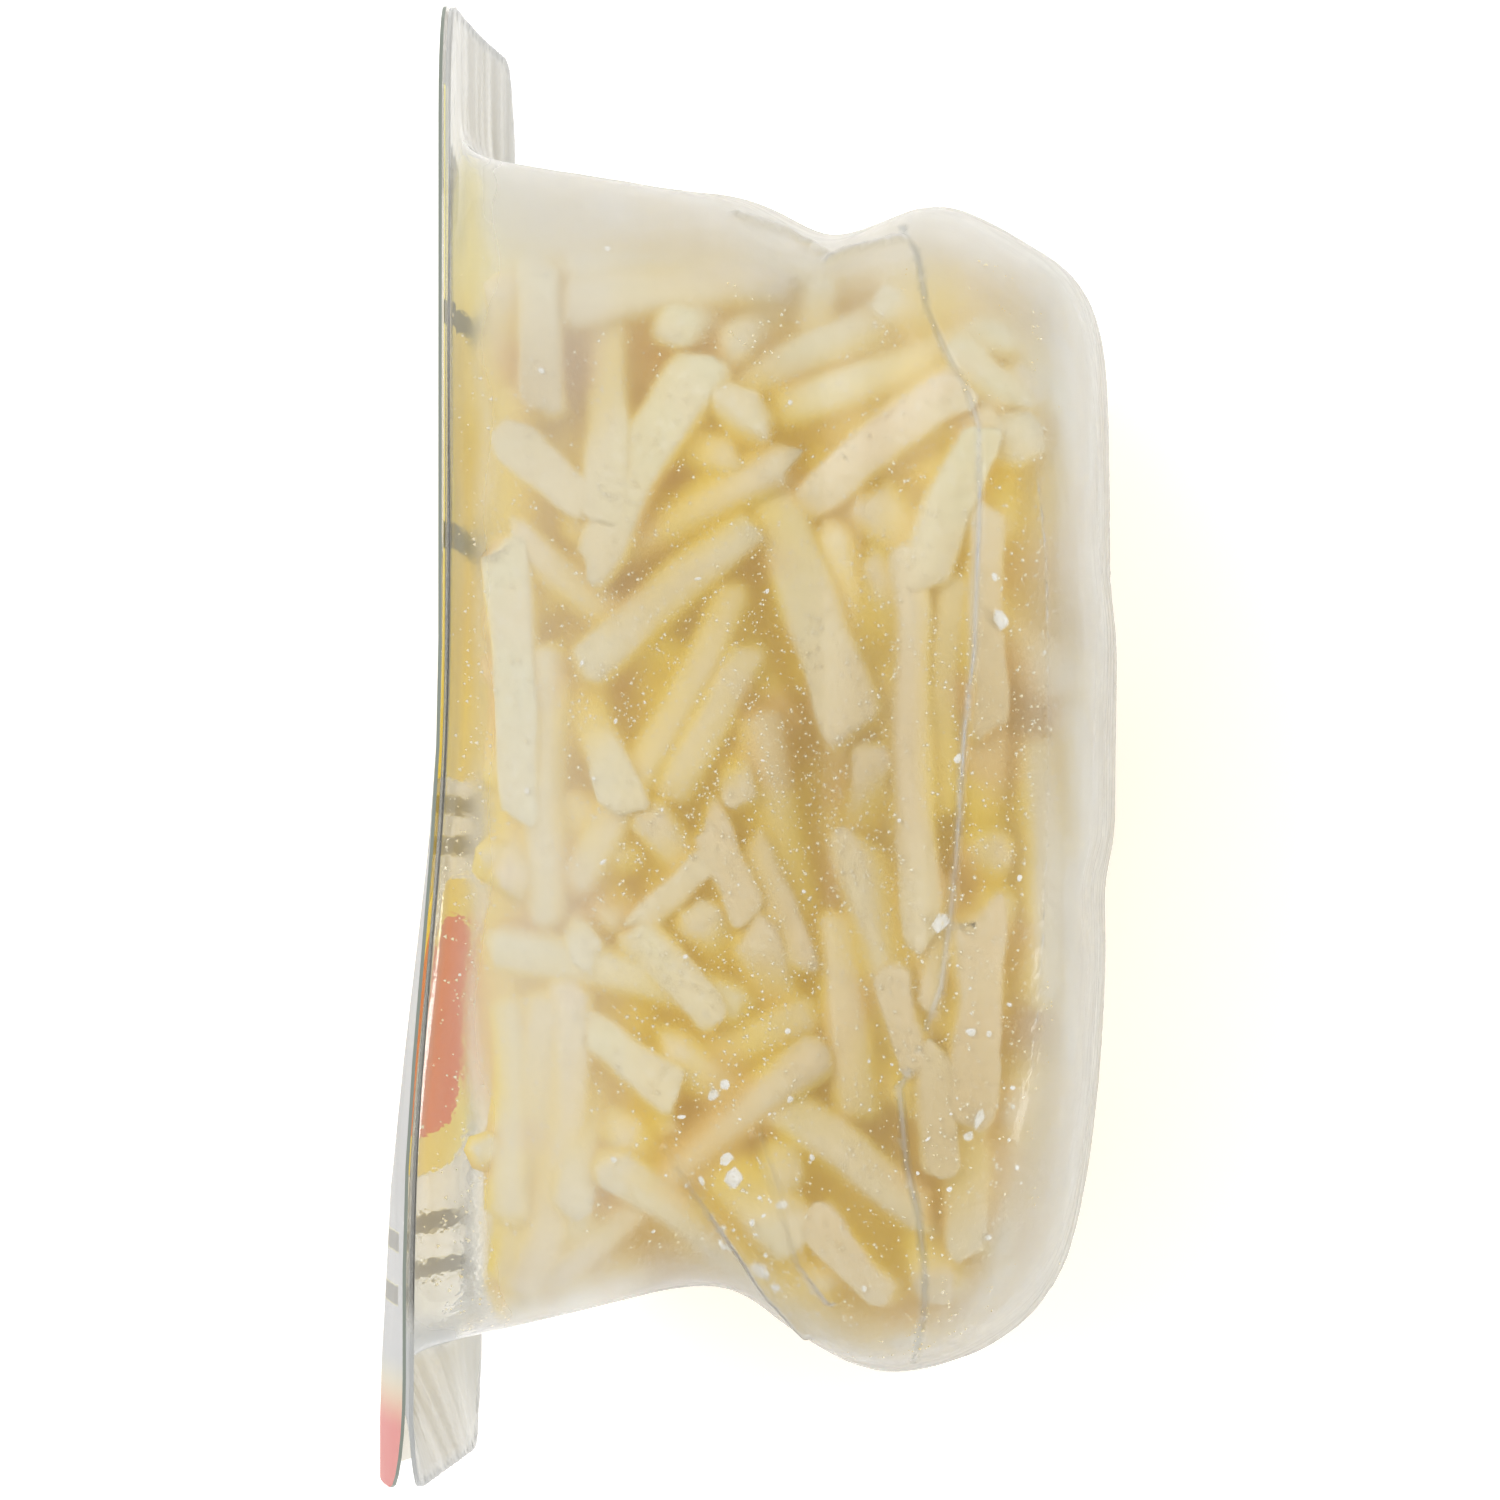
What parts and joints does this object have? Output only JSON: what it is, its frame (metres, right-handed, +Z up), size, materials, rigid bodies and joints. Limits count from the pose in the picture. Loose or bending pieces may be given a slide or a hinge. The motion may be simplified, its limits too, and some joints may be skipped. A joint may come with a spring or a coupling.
{
  "type": "pack of grana padano sticks",
  "caption": "Sealed clear pack of short cut cheese sticks: a deep waisted pouch of formed film under a flat printed lid film, lying on one long side.",
  "frame": {"origin": "under the middle of the bounding box, on the surface that the pack lies on", "axes": "+X from the lid to the base of the pouch, +Y along the pack to its top end, +Z up, towards the long side that shows"},
  "size_m": [0.066, 0.13, 0.09],
  "materials": {
    "filled_pouch": "soft clear film, slightly milky, over pale cheese sticks",
    "lid_film": "satin translucent film with fields of print"
  },
  "bodies": {
    "root": {"filled_pouch": "filled_pouch", "lid_film": "lid_film"}
  },
  "joints": []
}
